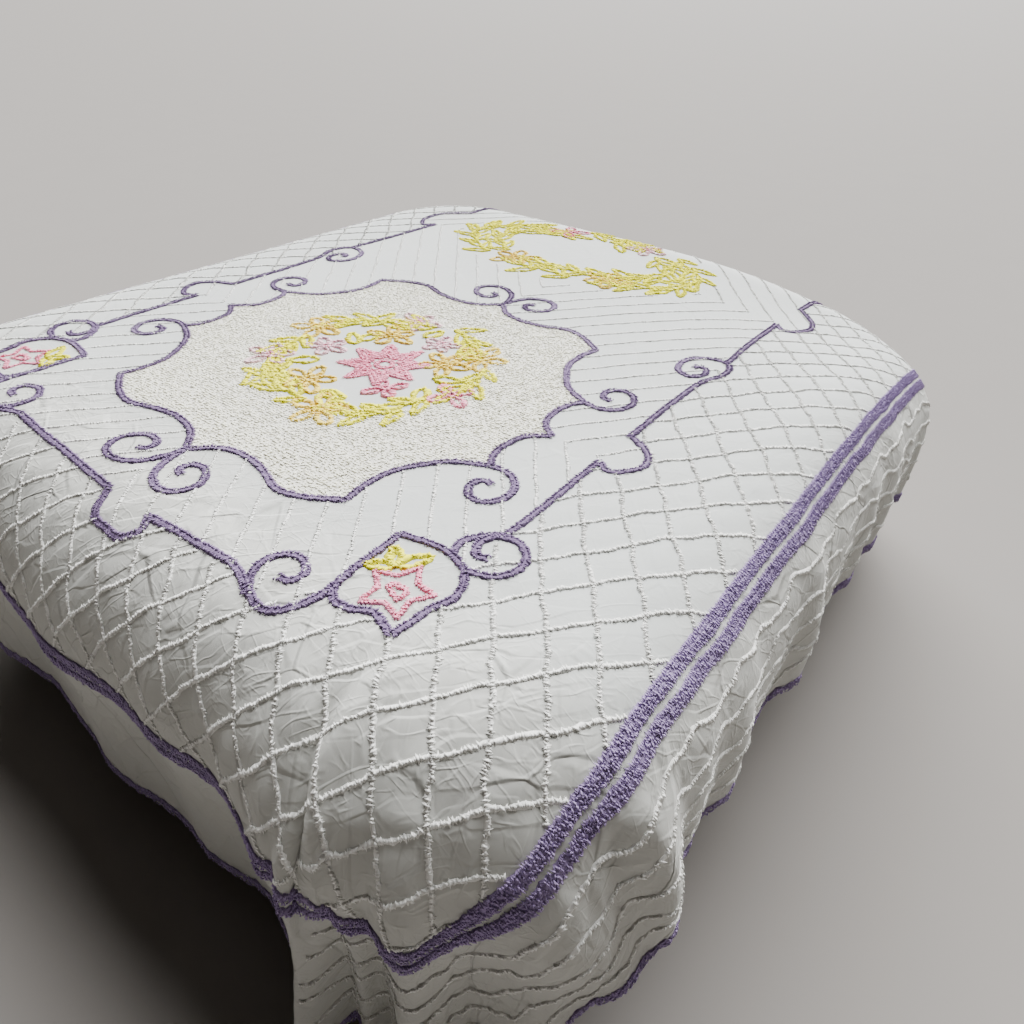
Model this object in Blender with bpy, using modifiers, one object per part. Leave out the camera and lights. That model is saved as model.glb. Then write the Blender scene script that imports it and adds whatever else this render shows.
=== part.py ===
import math

import bmesh
import bpy
import numpy as np

# Chenille bedspread draped over a plain bed. Metres, +Z up, the foot of the bed towards -Y.
# Points of the flat cloth are (across, along), measured from the middle of the mattress.

# Driving dimensions
COLLECTION_NAME = "chenille_bedspread"
MATTRESS_WIDTH = 1.93
MATTRESS_LENGTH = 2.03
MATTRESS_HEIGHT = 0.28
MATTRESS_CORNER = 0.36        # radius of the corners in plan
MATTRESS_EDGE = 0.19         # radius of the top edge
MATTRESS_CUTS = 13
BASE_INSET = 0.09             # the base stands this far inside the mattress on every side
BASE_HEIGHT = 0.42
BASE_CORNER = 0.20            # radius of its corners in plan
BASE_CORNER_STEPS = 6
PIECE_GAP = 0.0003            # between pieces that rest on each other
CLOTH_THICKNESS = 0.0025

CLOTH_HALF_WIDTH = 1.31
CLOTH_FOOT = -1.56
CLOTH_HEAD = 1.33
CLOTH_CORNER = 0.42           # radius of the cut corners of the flat cloth
CLOTH_STEP = 0.020            # grid step before the flat areas are thinned
CLOTH_KEEP = 0.105            # share of the triangles that stays after thinning

# Where the cloth starts to bend over the edges, and how round that line is in plan
BEND_SIDE = 0.80
BEND_FOOT = -0.83
BEND_HEAD = 0.86
BEND_CORNER = 0.19

# Slope of the falling cloth: distance from the start of the bend, degrees below level
SIDE_SLOPE = [
    # distance, degrees
    (0.00, 0), (0.09, 18), (0.18, 50), (0.25, 76), (0.32, 87), (0.40, 93), (0.50, 92), (0.90, 87),
]
FOOT_SLOPE = [
    # distance, degrees
    (0.00, 0), (0.08, 18), (0.17, 44), (0.26, 66), (0.34, 84), (0.40, 98), (0.47, 94), (0.58, 86), (0.90, 86),
]

# Folds of the hanging cloth: place along the edge, swing outwards at the hem, half width
SIDE_FOLDS = [
    # along, swing, width
    (-0.95, 0.050, 0.10), (-0.78, 0.044, 0.06), (-0.63, 0.016, 0.05), (-0.50, 0.028, 0.05),
    (-0.36, 0.004, 0.05), (-0.19, 0.032, 0.05), (-0.02, 0.008, 0.055), (0.17, 0.018, 0.05),
    (0.36, 0.022, 0.06), (0.55, 0.004, 0.05), (0.73, 0.014, 0.06), (0.90, 0.008, 0.06),
]
FOOT_FOLDS = [
    # across, swing, width
    (0.60, 0.016, 0.035), (0.45, -0.026, 0.085), (0.22, -0.012, 0.08), (0.02, 0.016, 0.09),
    (-0.28, -0.012, 0.08), (-0.50, 0.016, 0.08),
]
HEAD_FOLDS = [
    # across, swing, width
    (-0.60, 0.016, 0.08), (-0.30, -0.010, 0.08), (0.05, 0.016, 0.09), (0.35, -0.010, 0.08), (0.62, 0.016, 0.08),
]
# Folds that fan out round a corner: degrees from the side towards the end, swing, width in degrees
CORNER_FOLDS = [
    # turn, swing, width
    (2, 0.026, 9), (17, 0.048, 9), (38, 0.072, 10), (61.5, 0.070, 5.5), (68.5, -0.020, 3.0),
    (73, 0.022, 2.8), (77, -0.016, 2.4), (82, 0.088, 4.0),
]
CORNER_DRIFT = (3.0, -5.0)    # degrees by which these folds shift on the far side and at the head
CORNER_EASE = 0.55            # share of their swing at the other three corners
FOLD_START = 0.06             # distance from the bend at which the folds of the straight sides begin
FOLD_REACH = 0.40             # further distance over which they grow to their full swing
FAN_START = 0.08              # the same for the folds round a corner, which keep growing to the hem
FAN_REACH = 0.62
FAN_ROUND = 0.25              # how gently they set in

# The padding is worn down at one corner of the head end
SAG_DEPTH = 0.10
SAG_CORNER = (0.92, 0.96)
SAG_REACH = (0.435, 0.49)
SAG_CLEARANCE = 0.006         # the cloth bridges the worn part, this far above it
SAG_BRIDGE = 0.001            # wear at which the cloth is fully clear

MATTRESS_TOP = BASE_HEIGHT + PIECE_GAP + MATTRESS_HEIGHT
CLOTH_TOP = MATTRESS_TOP + PIECE_GAP + CLOTH_THICKNESS / 2


def smooth(value):
    value = np.clip(value, 0, 1)
    return value * value * (3 - 2 * value)


def bend_profile(rows, count=241, reach=0.9, blur=9):
    """Adds up a slope table into distance, outward reach and fall."""
    distance = np.linspace(0, reach, count)
    places, degrees = zip(*rows)
    slope = np.radians(np.interp(distance, places, degrees))
    padded = np.pad(slope, blur // 2, mode="edge")
    slope = np.convolve(padded, np.ones(blur) / blur, "valid")
    slope[0] = 0
    middle = (slope[1:] + slope[:-1]) / 2
    step = distance[1]
    outward = np.concatenate([[0], np.cumsum(np.cos(middle)) * step])
    fall = np.concatenate([[0], np.cumsum(np.sin(middle)) * step])
    return distance, outward, fall


def fold_swing(rows, place):
    swing = np.zeros_like(place)
    for centre, amount, width in rows:
        swing += amount * np.exp(-(((place - centre) / width) ** 2))
    return swing


def sag(x, y):
    """How far the padding is worn down at a point of the top."""
    inside_x = np.minimum(x - SAG_CORNER[0], 0) / SAG_REACH[0]
    inside_y = np.minimum(y - SAG_CORNER[1], 0) / SAG_REACH[1]
    return SAG_DEPTH * np.exp(-(inside_x ** 2 + inside_y ** 2))


def drape(across, along):
    """Carries points of the flat cloth to their places on the bed."""
    side_start = BEND_SIDE - BEND_CORNER
    held_x = np.clip(across, -side_start, side_start)
    held_y = np.clip(along, BEND_FOOT + BEND_CORNER, BEND_HEAD - BEND_CORNER)
    off_x = across - held_x
    off_y = along - held_y
    length = np.hypot(off_x, off_y)
    safe = np.maximum(length, 1e-9)
    out_x = off_x / safe
    out_y = off_y / safe
    past = np.maximum(length - BEND_CORNER, 0)

    foot_share = smooth((-out_y - 0.35) / 0.6)
    head_share = smooth((out_y - 0.35) / 0.6)
    side_share = smooth((np.abs(out_x) - 0.5) / 0.5)
    side_run, side_outward, side_fall = bend_profile(SIDE_SLOPE)
    foot_run, foot_outward, foot_fall = bend_profile(FOOT_SLOPE)
    outward = np.interp(past, side_run, side_outward) * (1 - foot_share)
    outward += np.interp(past, foot_run, foot_outward) * foot_share
    fall = np.interp(past, side_run, side_fall) * (1 - foot_share)
    fall += np.interp(past, foot_run, foot_fall) * foot_share

    turn = np.degrees(np.arctan2(np.abs(out_y), np.abs(out_x)))
    swing = fold_swing(SIDE_FOLDS, along * np.sign(out_x + 1e-9)) * side_share
    swing += fold_swing(FOOT_FOLDS, across) * foot_share
    swing += fold_swing(HEAD_FOLDS, across) * head_share
    swing *= smooth((past - FOLD_START) / FOLD_REACH)
    drift = CORNER_DRIFT[0] * (out_x < 0) + CORNER_DRIFT[1] * (out_y > 0)
    fan = fold_swing(CORNER_FOLDS, turn + drift) * smooth((turn - 2) / 15) * smooth((89.5 - turn) / 5)
    fan = np.where((out_x > 0) & (out_y < 0), fan, fan * CORNER_EASE)
    grown = np.clip((past - FAN_START) / FAN_REACH, 0, 2)
    swing += fan * grown ** 2 * (1 + FAN_ROUND) / (grown + FAN_ROUND)

    radius = np.minimum(length, BEND_CORNER) + outward + swing
    x = held_x + out_x * radius
    y = held_y + out_y * radius
    z = CLOTH_TOP - fall - sag(across, along)
    return x, y, z


def new_material(name, colour, roughness):
    material = bpy.data.materials.new(name)
    material.use_nodes = True
    shader = material.node_tree.nodes["Principled BSDF"]
    shader.inputs["Base Color"].default_value = (*colour, 1)
    shader.inputs["Roughness"].default_value = roughness
    shader.inputs["Metallic"].default_value = 0.0
    return material


def new_object(name, shape, material, collection):
    mesh = bpy.data.meshes.new(name)
    shape.to_mesh(mesh)
    shape.free()
    mesh.materials.append(material)
    piece = bpy.data.objects.new(name, mesh)
    collection.objects.link(piece)
    return piece


def round_plan_corner(across, along):
    """Pulls a point of the flat rectangle that lies past a cut corner onto its arc."""
    centre_x = math.copysign(CLOTH_HALF_WIDTH - CLOTH_CORNER, across)
    centre_y = CLOTH_HEAD - CLOTH_CORNER if along > 0 else CLOTH_FOOT + CLOTH_CORNER
    off_x = (across - centre_x) * math.copysign(1, centre_x)
    off_y = (along - centre_y) * math.copysign(1, centre_y)
    length = math.hypot(off_x, off_y)
    if off_x <= 0 or off_y <= 0 or length <= CLOTH_CORNER:
        return across, along, False
    scale = CLOTH_CORNER / length
    return centre_x + (across - centre_x) * scale, centre_y + (along - centre_y) * scale, True


def add_bedspread(collection):
    columns = round(2 * CLOTH_HALF_WIDTH / CLOTH_STEP)
    rows = round((CLOTH_HEAD - CLOTH_FOOT) / CLOTH_STEP)
    shape = bmesh.new()
    bmesh.ops.create_grid(shape, x_segments=columns, y_segments=rows, size=1.0)
    trimmed = set()
    for corner in shape.verts:
        across = corner.co.x * CLOTH_HALF_WIDTH
        along = CLOTH_FOOT + (corner.co.y + 1) / 2 * (CLOTH_HEAD - CLOTH_FOOT)
        across, along, outside = round_plan_corner(across, along)
        if outside:
            trimmed.add(corner)
        corner.co.x = across
        corner.co.y = along
    waste = [face for face in shape.faces if all(corner in trimmed for corner in face.verts)]
    bmesh.ops.delete(shape, geom=waste, context="FACES")

    flat = np.array([corner.co[:2] for corner in shape.verts])
    x, y, z = drape(flat[:, 0], flat[:, 1])
    for corner, place in zip(shape.verts, np.stack([x, y, z], axis=1)):
        corner.co = place

    bmesh.ops.recalc_face_normals(shape, faces=shape.faces)
    cloth = new_material("bedspread_cotton", (0.74, 0.75, 0.72), 0.9)
    spread = new_object("bedspread", shape, cloth, collection)
    thin = spread.modifiers.new("thin", "DECIMATE")
    thin.ratio = CLOTH_KEEP
    thick = spread.modifiers.new("thick", "SOLIDIFY")
    thick.thickness = CLOTH_THICKNESS
    thick.offset = 0.0
    return spread


def add_mattress(collection):
    shape = bmesh.new()
    bmesh.ops.create_cube(shape, size=2.0)
    bmesh.ops.subdivide_edges(shape, edges=shape.edges, cuts=MATTRESS_CUTS, use_grid_fill=True)
    inner_x = MATTRESS_WIDTH / 2 - MATTRESS_CORNER
    inner_y = MATTRESS_LENGTH / 2 - MATTRESS_CORNER
    level_rim = MATTRESS_HEIGHT - MATTRESS_EDGE
    for corner in shape.verts:
        x = corner.co.x * MATTRESS_WIDTH / 2
        y = corner.co.y * MATTRESS_LENGTH / 2
        z = (corner.co.z + 1) / 2 * MATTRESS_HEIGHT
        held_x = min(max(x, -inner_x), inner_x)
        held_y = min(max(y, -inner_y), inner_y)
        off_x = x - held_x
        off_y = y - held_y
        length = math.hypot(off_x, off_y)
        if length > 0:
            # the square corner in plan becomes a round one, and the top edge rolls over
            reach = max(abs(off_x), abs(off_y))
            over = max(reach - (MATTRESS_CORNER - MATTRESS_EDGE), 0)
            above = max(z - level_rim, 0)
            if over > 0 and above > 0:
                slant = math.hypot(over, above)
                reach = MATTRESS_CORNER - MATTRESS_EDGE + MATTRESS_EDGE * over / slant
                z = level_rim + MATTRESS_EDGE * above / slant
            x = held_x + off_x / length * reach
            y = held_y + off_y / length * reach
        worn = sag(x, y)
        worn += SAG_CLEARANCE * smooth(worn / SAG_BRIDGE)
        corner.co = (x, y, BASE_HEIGHT + PIECE_GAP + z - worn * smooth(z / MATTRESS_HEIGHT))
    ticking = new_material("mattress_ticking", (0.78, 0.77, 0.74), 0.85)
    return new_object("mattress", shape, ticking, collection)


def add_base(collection):
    shape = bmesh.new()
    bmesh.ops.create_cube(shape, size=1.0)
    width = MATTRESS_WIDTH - 2 * BASE_INSET
    length = MATTRESS_LENGTH - 2 * BASE_INSET
    bmesh.ops.scale(shape, vec=(width, length, BASE_HEIGHT), verts=shape.verts)
    bmesh.ops.translate(shape, vec=(0, 0, BASE_HEIGHT / 2), verts=shape.verts)
    upright = [edge for edge in shape.edges if abs(edge.verts[0].co.z - edge.verts[1].co.z) > BASE_HEIGHT / 2]
    bmesh.ops.bevel(
        shape, geom=upright, offset=BASE_CORNER, segments=BASE_CORNER_STEPS, profile=0.5, affect="EDGES"
    )
    cover = new_material("base_cover", (0.42, 0.40, 0.37), 0.8)
    return new_object("bed_base", shape, cover, collection)


def centre_over_floor(pieces):
    """Moves the bed so that its footprint is centred on the origin."""
    bpy.context.view_layer.update()
    graph = bpy.context.evaluated_depsgraph_get()
    low = np.full(3, np.inf)
    high = np.full(3, -np.inf)
    for piece in pieces:
        mesh = piece.evaluated_get(graph).to_mesh()
        points = np.empty(len(mesh.vertices) * 3)
        mesh.vertices.foreach_get("co", points)
        points = points.reshape(-1, 3)
        low = np.minimum(low, points.min(axis=0))
        high = np.maximum(high, points.max(axis=0))
    for piece in pieces:
        piece.location.x = -(low[0] + high[0]) / 2
        piece.location.y = -(low[1] + high[1]) / 2


for old in list(bpy.data.objects):
    bpy.data.objects.remove(old, do_unlink=True)
bed = bpy.data.collections.new(COLLECTION_NAME)
bpy.context.scene.collection.children.link(bed)
centre_over_floor([add_base(bed), add_mattress(bed), add_bedspread(bed)])
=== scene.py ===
import math

import bmesh
import bpy
import numpy as np
from mathutils import Matrix, Vector


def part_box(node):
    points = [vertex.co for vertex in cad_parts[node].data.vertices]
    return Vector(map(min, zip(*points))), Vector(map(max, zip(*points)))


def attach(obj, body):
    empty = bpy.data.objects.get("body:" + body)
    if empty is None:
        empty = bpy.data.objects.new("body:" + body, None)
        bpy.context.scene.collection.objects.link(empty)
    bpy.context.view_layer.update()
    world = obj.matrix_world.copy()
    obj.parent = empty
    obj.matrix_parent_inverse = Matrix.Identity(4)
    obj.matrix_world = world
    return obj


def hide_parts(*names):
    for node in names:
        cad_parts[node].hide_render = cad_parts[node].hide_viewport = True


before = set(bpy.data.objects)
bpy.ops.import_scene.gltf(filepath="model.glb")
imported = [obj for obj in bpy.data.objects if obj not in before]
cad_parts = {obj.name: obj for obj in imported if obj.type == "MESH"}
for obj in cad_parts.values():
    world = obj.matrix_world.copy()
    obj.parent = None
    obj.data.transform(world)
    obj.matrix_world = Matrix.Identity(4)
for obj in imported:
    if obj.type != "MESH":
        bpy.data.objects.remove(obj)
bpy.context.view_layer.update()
print("frame loaded")

mattressLow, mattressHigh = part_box("mattress")
bedMiddle = (mattressLow + mattressHigh) / 2
draws = np.random.default_rng(41)
fullTurn = 2 * math.pi
anyPhase = (0, 6.28)

# How the cloth drapes. Flat points are (across, along) in metres from the middle of the mattress:
# across runs to the near side (+X), along to the head (+Y). The numbers match the CAD.
drapeSet = {
    "top": 0.70185,           # middle of the cloth above the floor
    "bendSide": 0.80,         # where the cloth starts to bend over each edge
    "bendFoot": -0.83,
    "bendHead": 0.86,
    "bendCorner": 0.19,
    # distance past the bend, degrees below level
    "sideSlope": [(0, 0), (0.09, 18), (0.18, 50), (0.25, 76), (0.32, 87), (0.40, 93), (0.50, 92), (0.90, 87)],
    "footSlope": [(0, 0), (0.08, 18), (0.17, 44), (0.26, 66), (0.34, 84), (0.40, 98), (0.47, 94),
                  (0.58, 86), (0.90, 86)],
    # place along the edge, swing at the hem, half width
    "sideFolds": [(-0.95, 0.050, 0.10), (-0.78, 0.044, 0.06), (-0.63, 0.016, 0.05), (-0.50, 0.028, 0.05),
                  (-0.36, 0.004, 0.05), (-0.19, 0.032, 0.05), (-0.02, 0.008, 0.055), (0.17, 0.018, 0.05),
                  (0.36, 0.022, 0.06), (0.55, 0.004, 0.05), (0.73, 0.014, 0.06), (0.90, 0.008, 0.06)],
    "footFolds": [(0.60, 0.016, 0.035), (0.45, -0.026, 0.085), (0.22, -0.012, 0.08), (0.02, 0.016, 0.09),
                  (-0.28, -0.012, 0.08), (-0.50, 0.016, 0.08)],
    "headFolds": [(-0.60, 0.016, 0.08), (-0.30, -0.010, 0.08), (0.05, 0.016, 0.09), (0.35, -0.010, 0.08),
                  (0.62, 0.016, 0.08)],
    "foldStart": 0.06,        # past the bend
    "foldReach": 0.40,
    "endBlend": (0.35, 0.6),  # where the end tables take over round a corner: start, width
    "sideBlend": (0.5, 0.5),
    # degrees round the corner, swing, width in degrees
    "cornerFolds": [(2, 0.026, 9), (17, 0.048, 9), (38, 0.072, 10), (61.5, 0.070, 5.5), (68.5, -0.020, 3.0),
                    (73, 0.022, 2.8), (77, -0.016, 2.4), (82, 0.088, 4.0)],
    "cornerDrift": (3.0, -5.0),   # degrees, on the far side and at the head
    "cornerEase": 0.55,       # share of the swing at the other three corners
    "fanFrom": (2, 15),       # degrees, width of the ease at both ends of a corner
    "fanTo": (89.5, 5),
    "fanStart": 0.08,
    "fanReach": 0.62,
    "fanRound": 0.25,
    "sagDepth": 0.10,         # the padding is worn down at one corner of the head end
    "sagCorner": (0.92, 0.96),
    "sagReach": (0.435, 0.49),
}


def smooth(value):
    value = np.clip(value, 0, 1)
    return value * value * (3 - 2 * value)


def rise(value, start, width):
    return smooth((value - start) / width)


def pairs(first, second):
    return np.stack([first, second], axis=1)


def unitLong(vectors):
    return vectors / np.maximum(np.linalg.norm(vectors, axis=-1, keepdims=True), 1e-12)


def bendProfile(rows, count=241, reach=0.9, blur=9):
    # adds up a slope table into distance, outward reach and fall
    distance = np.linspace(0, reach, count)
    slope = np.radians(np.interp(distance, *zip(*rows)))
    slope = np.convolve(np.pad(slope, blur // 2, mode="edge"), np.ones(blur) / blur, "valid")
    slope[0] = 0
    middle = (slope[1:] + slope[:-1]) / 2
    added = [np.cumsum(part(middle)) * distance[1] for part in (np.cos, np.sin)]
    return [distance] + [np.append(0, total) for total in added]


sideProfile = bendProfile(drapeSet["sideSlope"])
footProfile = bendProfile(drapeSet["footSlope"])


def foldSwing(rows, place):
    return sum(amount * np.exp(-(((place - centre) / width) ** 2)) for centre, amount, width in rows)


def offTop(across, along):
    # the nearest point that still lies flat, and how far the cloth hangs off it
    d = drapeSet
    sideStart = d["bendSide"] - d["bendCorner"]
    heldX = np.clip(across, -sideStart, sideStart)
    heldY = np.clip(along, d["bendFoot"] + d["bendCorner"], d["bendHead"] - d["bendCorner"])
    offX = across - heldX
    offY = along - heldY
    length = np.hypot(offX, offY)
    safe = np.maximum(length, 1e-9)
    return heldX, heldY, offX / safe, offY / safe, length


def drape(across, along):
    d = drapeSet
    heldX, heldY, outX, outY, length = offTop(across, along)
    past = np.maximum(length - d["bendCorner"], 0)
    footShare = rise(-outY, *d["endBlend"])
    headShare = rise(outY, *d["endBlend"])
    sideShare = rise(np.abs(outX), *d["sideBlend"])
    outward, fall = (np.interp(past, sideProfile[0], sideProfile[k]) * (1 - footShare)
                     + np.interp(past, footProfile[0], footProfile[k]) * footShare for k in (1, 2))

    swing = (foldSwing(d["sideFolds"], along * np.sign(outX + 1e-9)) * sideShare
             + foldSwing(d["footFolds"], across) * footShare + foldSwing(d["headFolds"], across) * headShare)
    swing = swing * rise(past, d["foldStart"], d["foldReach"])
    turn = np.degrees(np.arctan2(np.abs(outY), np.abs(outX)))
    drift = d["cornerDrift"][0] * (outX < 0) + d["cornerDrift"][1] * (outY > 0)
    lastTurn, ease = d["fanTo"]
    fan = foldSwing(d["cornerFolds"], turn + drift) * rise(turn, *d["fanFrom"])
    fan = fan * smooth((lastTurn - turn) / ease)
    fan = np.where((outX > 0) & (outY < 0), fan, fan * d["cornerEase"])
    grown = np.clip((past - d["fanStart"]) / d["fanReach"], 0, 2)
    swing = swing + fan * grown ** 2 * (1 + d["fanRound"]) / (grown + d["fanRound"])

    insideX = np.minimum(across - d["sagCorner"][0], 0) / d["sagReach"][0]
    insideY = np.minimum(along - d["sagCorner"][1], 0) / d["sagReach"][1]
    sag = d["sagDepth"] * np.exp(-(insideX ** 2 + insideY ** 2))
    radius = np.minimum(length, d["bendCorner"]) + outward + swing
    x = heldX + outX * radius + bedMiddle.x
    y = heldY + outY * radius + bedMiddle.y
    return np.stack([x, y, d["top"] - fall - sag], axis=-1)


def clothWays(flat, step=0.002):
    # the directions of across and along, and the outward normal, before creasing
    toSide = drape(flat[:, 0] + step, flat[:, 1]) - drape(flat[:, 0] - step, flat[:, 1])
    toHead = drape(flat[:, 0], flat[:, 1] + step) - drape(flat[:, 0], flat[:, 1] - step)
    return toSide / (2 * step), toHead / (2 * step), unitLong(np.cross(toSide, toHead))


# The tufted design is drawn on the flat cloth in units of one repeat, from the middle of the medallion:
# u runs to the head, v to the near side.
designSet = {
    "unit": 0.0625,
    "middle": -0.275,         # along
    "farEase": 1.10,          # the far half lies a little wider
}
frameSet = {"side": 9.7, "foot": -9.55, "head": 22.0}
latticeSet = {
    "ratio": 1.28,            # how much longer a diamond is along the bed
    "firstPhase": 0.11,
    "secondPhase": 0.64,
    "chevronStep": 1.165,
    "chevronPhase": 1.01,
    "chevronMiddle": 14.5,    # u of the middle of the nested diamonds
    "sway": 0.0042,
}
wreathSet = {
    "middle": (0.2, 0.0),
    "clear": 3.80,            # no pile inside this radius
    "ring": 3.62,
    "headMiddle": (15.4, -1.1),
    "headHalf": (4.3, 6.8),   # the chevrons stop here
    "headRing": (2.95, 5.25),
}


def onCloth(points):
    d = designSet
    points = np.asarray(points, float)
    v = points[:, 1] * np.where(points[:, 1] < 0, d["farEase"], 1.0)
    return pairs(v * d["unit"], points[:, 0] * d["unit"] + d["middle"])


def offCloth(flat):
    d = designSet
    v = flat[:, 0] / d["unit"]
    return pairs((flat[:, 1] - d["middle"]) / d["unit"], v / np.where(v < 0, d["farEase"], 1.0))


# Creases and puckers on top of the main folds
creaseSet = {
    "count": 260,
    "across": (-1.28, 1.28),
    "along": (-1.52, 1.3),
    "strays": 0.05,           # share of them that lies on the taut part
    "footSlack": (0.60, 0.24),    # where the cloth gets loose: start, width
    "sideSlack": (0.86, 0.14),
    "headSlack": (0.95, 0.2),
    "height": (0.0006, 0.0017),
    "length": (0.03, 0.12),
    "width": (0.008, 0.013),
    "bow": 1.2,
    "softWidth": 0.016,
    "puckerHeight": 0.0019,   # ruching of the hanging part
    "puckerWaves": [(236, 0.5), (331, 0.8), (173, 0.7), (412, 0.45)],   # waves round the spread, share
    "puckerRows": 0.052,      # the ruching changes from row to row
    "puckerEase": (0.10, 0.16),
    "pillow": 0.0024,         # each diamond stands up a little between its rows
    "pillowFoot": 9.8,        # it begins past this line and past the sides of the frame
    "pillowEase": 0.8,
    "pillowEnd": (0.30, 0.1),
}
# the edge of the fold at the near foot corner, and the ridge beside it:
# across, along, direction in degrees, length, width, height, bow
foldCreases = [
    (0.630, -0.950, 96, 0.11, 0.014, -0.007, 0.3), (0.650, -1.025, 112, 0.12, 0.014, -0.015, -0.4),
    (0.680, -1.095, 108, 0.12, 0.015, -0.019, 0.0), (0.700, -1.190, 98, 0.14, 0.016, -0.021, 0.0),
    (0.662, -0.945, 98, 0.12, 0.016, 0.008, 0.3), (0.688, -1.040, 110, 0.13, 0.016, 0.012, -0.4),
    (0.720, -1.130, 104, 0.14, 0.018, 0.014, 0.0),
]
# soft ones that run out of the knots of the diamonds and across both drops, all of one width
softCreases = [
    (0.76, -0.93, 62, 0.13, 0.0036, 0.5), (0.80, -0.97, 20, 0.12, 0.0036, -0.8),
    (0.74, -1.02, 35, 0.10, 0.0036, 0.6), (0.86, -0.90, 75, 0.11, 0.0030, 0.4),
    (0.90, -0.98, 48, 0.12, 0.0030, -0.6), (0.82, -1.06, 140, 0.11, 0.0036, 0.6),
    (0.56, -0.94, 150, 0.12, 0.0036, 0.6), (0.53, -1.02, 120, 0.13, 0.0042, -0.5),
    (0.47, -0.93, 35, 0.12, 0.0030, 0.8), (0.42, -1.00, 62, 0.12, 0.0036, 0.5),
    (0.36, -0.90, 150, 0.12, 0.0030, -0.8), (0.30, -0.98, 25, 0.12, 0.0030, 0.8),
    (0.22, -0.91, 110, 0.11, 0.0030, 0.6), (0.14, -0.99, 160, 0.13, 0.0030, -0.7),
    (0.05, -0.91, 40, 0.12, 0.0030, 0.7), (-0.05, -0.99, 75, 0.12, 0.0030, -0.6),
    (-0.16, -0.90, 155, 0.13, 0.0030, 0.8), (-0.28, -0.97, 28, 0.12, 0.0030, 0.6),
    (-0.42, -0.92, 120, 0.12, 0.0030, -0.6), (-0.58, -0.96, 50, 0.13, 0.0030, 0.7),
    (-0.72, -0.88, 140, 0.12, 0.0030, 0.6), (0.60, -0.83, 40, 0.10, 0.0024, 0.6),
    (0.40, -0.82, 100, 0.10, 0.0024, 0.6), (0.16, -0.80, 30, 0.10, 0.0024, -0.6),
    (0.50, -1.11, 78, 0.13, 0.0042, 0.5), (0.34, -1.09, 110, 0.13, 0.0036, -0.6),
    (0.10, -1.10, 84, 0.13, 0.0036, 0.6), (-0.14, -1.10, 100, 0.13, 0.0030, 0.5),
    (1.03, -0.78, 24, 0.13, 0.0036, 0.8), (1.08, -0.62, 160, 0.12, 0.0030, -0.8),
    (1.04, -0.46, 12, 0.13, 0.0036, 0.6), (1.09, -0.28, 168, 0.12, 0.0030, 0.8),
    (1.05, -0.10, 22, 0.12, 0.0036, -0.7), (1.10, 0.10, 8, 0.13, 0.0030, 0.6),
    (1.04, 0.30, 160, 0.12, 0.0036, 0.8), (1.09, 0.52, 14, 0.13, 0.0030, -0.6),
    (1.05, 0.72, 165, 0.12, 0.0030, 0.7), (-1.06, -0.60, 14, 0.13, 0.0030, 0.8),
    (-1.09, -0.25, 168, 0.12, 0.0030, -0.8), (-1.05, 0.10, 16, 0.13, 0.0030, 0.6),
    (-1.09, 0.45, 160, 0.12, 0.0030, 0.8),
]


def slackAt(flat):
    # 0 where the cloth lies taut, 1 where it hangs or bunches
    foot = rise(-flat[:, 1], *creaseSet["footSlack"])
    side = rise(np.abs(flat[:, 0]), *creaseSet["sideSlack"])
    head = rise(flat[:, 1], *creaseSet["headSlack"])
    return np.clip(np.maximum(np.maximum(foot, side), head), 0, 1)


def makeCreases():
    s = creaseSet
    placed = foldCreases + [(*row[:4], s["softWidth"], *row[4:]) for row in softCreases]
    rows = []
    for across, along, degrees, length, width, height, bow in placed:
        turn = math.radians(degrees)
        rows.append((across, along, math.cos(turn), math.sin(turn), length / 2, width, height, bow))
    while len(rows) < s["count"]:
        middle = (draws.uniform(*s["across"]), draws.uniform(*s["along"]))
        if draws.random() > s["strays"] + slackAt(np.array([middle]))[0]:
            continue
        turn = draws.uniform(0, math.pi)
        length, width, height = (draws.uniform(*s[size]) for size in ("length", "width", "height"))
        rows.append((*middle, math.cos(turn), math.sin(turn), length / 2, width, height,
                     draws.uniform(-1, 1) * s["bow"]))
    return rows


creases = makeCreases()
puckerDraws = draws.uniform(0, fullTurn, (12, len(creaseSet["puckerWaves"])))


def roundTheBed(flat, corner=0.40):
    # how far round the spread a point lies, as a share of one round, and how far past the bend
    d = drapeSet
    heldX, heldY, outX, outY, length = offTop(flat[:, 0], flat[:, 1])
    sideStart = d["bendSide"] - d["bendCorner"]
    footStart = d["bendFoot"] + d["bendCorner"]
    headStart = d["bendHead"] - d["bendCorner"]
    angle = np.arctan2(outY, outX)
    way = np.where(angle < 0, -1.0, 1.0)
    nearSide = np.abs(angle) < math.pi / 2 + 1e-6
    cornerY = np.where(way > 0, headStart, footStart)
    run = np.where(nearSide, heldY, cornerY + way * np.abs(cornerY - heldY))
    run = run + way * (corner * np.abs(angle) + np.where(np.abs(angle) > 1e-6, sideStart - heldX, 0))
    fullRound = 2 * (headStart - footStart) + 4 * sideStart + fullTurn * corner
    return run / fullRound, np.maximum(length - d["bendCorner"], 0)


def puckerLift(flat):
    # ruching across the rows of the hanging part, different between every two rows
    run, past = roundTheBed(flat)
    band = past / creaseSet["puckerRows"]
    lower = np.clip(np.floor(band).astype(int), 0, 10)
    share = smooth(band - lower)
    lift = np.zeros(len(flat))
    for row in (0, 1):
        phases = puckerDraws[lower + row]
        wave = sum(weight * np.sin(fullTurn * run * waves + phases[:, k])
                   for k, (waves, weight) in enumerate(creaseSet["puckerWaves"]))
        lift += wave * (share if row else 1 - share)
    return creaseSet["puckerHeight"] * (0.5 * lift + 0.5) * rise(past, *creaseSet["puckerEase"])


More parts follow.
